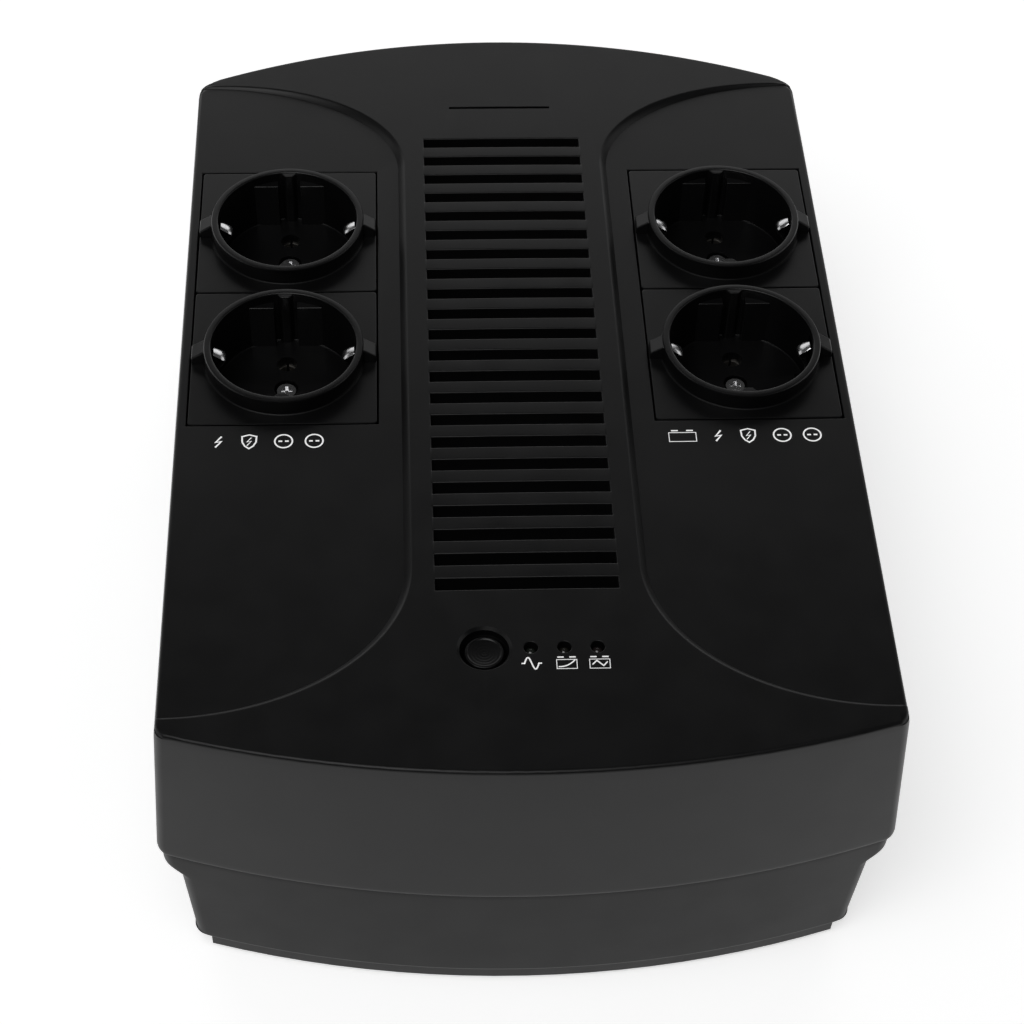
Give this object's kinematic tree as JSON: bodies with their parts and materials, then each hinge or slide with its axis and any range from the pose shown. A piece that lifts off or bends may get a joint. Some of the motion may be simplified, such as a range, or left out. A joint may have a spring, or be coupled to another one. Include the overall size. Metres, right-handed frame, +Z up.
{
  "type": "uninterruptible power supply",
  "caption": "Low black desktop backup power supply with bowed ends, a waisted raised spine with air slots, round earthed sockets on top, a power button with lamps and a rear connector bay.",
  "frame": {"origin": "centre of the footprint, on the surface that the feet stand on", "axes": "+Z up, -Y towards the front with the button nearest it, +X to the right seen from the front"},
  "size_m": [0.1866, 0.2776, 0.0995],
  "materials": {
    "case_black": "fine moulded grain",
    "tub_black": "fine moulded grain",
    "socket_black": "satin",
    "button_black": "satin",
    "panel_black": "matt",
    "steel": "bright",
    "zinc_steel": "zinc plated",
    "brass": "plain",
    "rubber": "matt",
    "foam": "closed-cell foam",
    "lamp_lens": "clear tinted",
    "board_green": "solder mask",
    "battery_grey": "moulded",
    "core_steel": "varnished laminations",
    "winding": "taped copper winding",
    "sheet_steel": "zinc plated",
    "sink_alu": "extruded",
    "component_black": "moulded epoxy",
    "relay_blue": "moulded",
    "sleeve_blue": "shrink sleeve",
    "fuse_amber": "moulded",
    "lead_red": "PVC",
    "lead_mixed": "PVC",
    "ribbon_grey": "PVC"
  },
  "bodies": {
    "case": {"top_cover": "case_black", "base_tub": "tub_black", "bottom_plate": "tub_black", "rubber_feet": "rubber", "cover_screws": "zinc_steel", "plate_screws": "zinc_steel", "socket_rear_left": "socket_black", "socket_rear_right": "socket_black", "socket_front_left": "socket_black", "socket_front_right": "socket_black", "earth_clip_rear_left": "steel", "earth_clip_rear_right": "steel", "earth_clip_front_left": "steel", "earth_clip_front_right": "steel", "contacts_rear_left": "brass", "contacts_rear_right": "brass", "contacts_front_left": "brass", "contacts_front_right": "brass", "socket_screws": "steel", "button_ring": "button_black", "button_spring": "steel", "push_switch": "component_black", "mains_lamp": "lamp_lens", "battery_lamp": "lamp_lens", "fault_lamp": "lamp_lens", "control_board": "board_green", "rear_panel": "panel_black", "mains_inlet": "socket_black", "inlet_pins": "steel", "breaker_body": "socket_black", "breaker_nut": "button_black", "surge_jacks": "socket_black", "data_port": "steel", "battery": "battery_grey", "battery_terminals": "steel", "battery_strap": "sheet_steel", "battery_pad": "foam", "transformer_core": "core_steel", "transformer_coil": "winding", "transformer_frame": "sheet_steel", "main_board": "board_green", "heat_sink": "sink_alu", "power_transistors": "component_black", "relays": "relay_blue", "capacitors": "sleeve_blue", "blade_fuse": "fuse_amber", "buzzer": "component_black", "battery_leads": "lead_red", "transformer_leads": "lead_mixed", "mains_leads": "lead_mixed", "socket_leads": "lead_mixed", "ribbon_cable": "ribbon_grey"},
    "power_button": {"power_button": "button_black"},
    "reset_button": {"reset_button": "button_black"}
  },
  "joints": [
    {"name": "power_button_press", "type": "slide", "parent": "case", "child": "power_button", "axis": [0, 0, -1], "range_m": [0, 0.002], "stiffness_N_per_m": 300, "springref_m": -0.003, "deforming": ["button_spring"]},
    {"name": "breaker_trip", "type": "slide", "parent": "case", "child": "reset_button", "axis": [0, 1, 0], "range_m": [0, 0.003]}
  ]
}
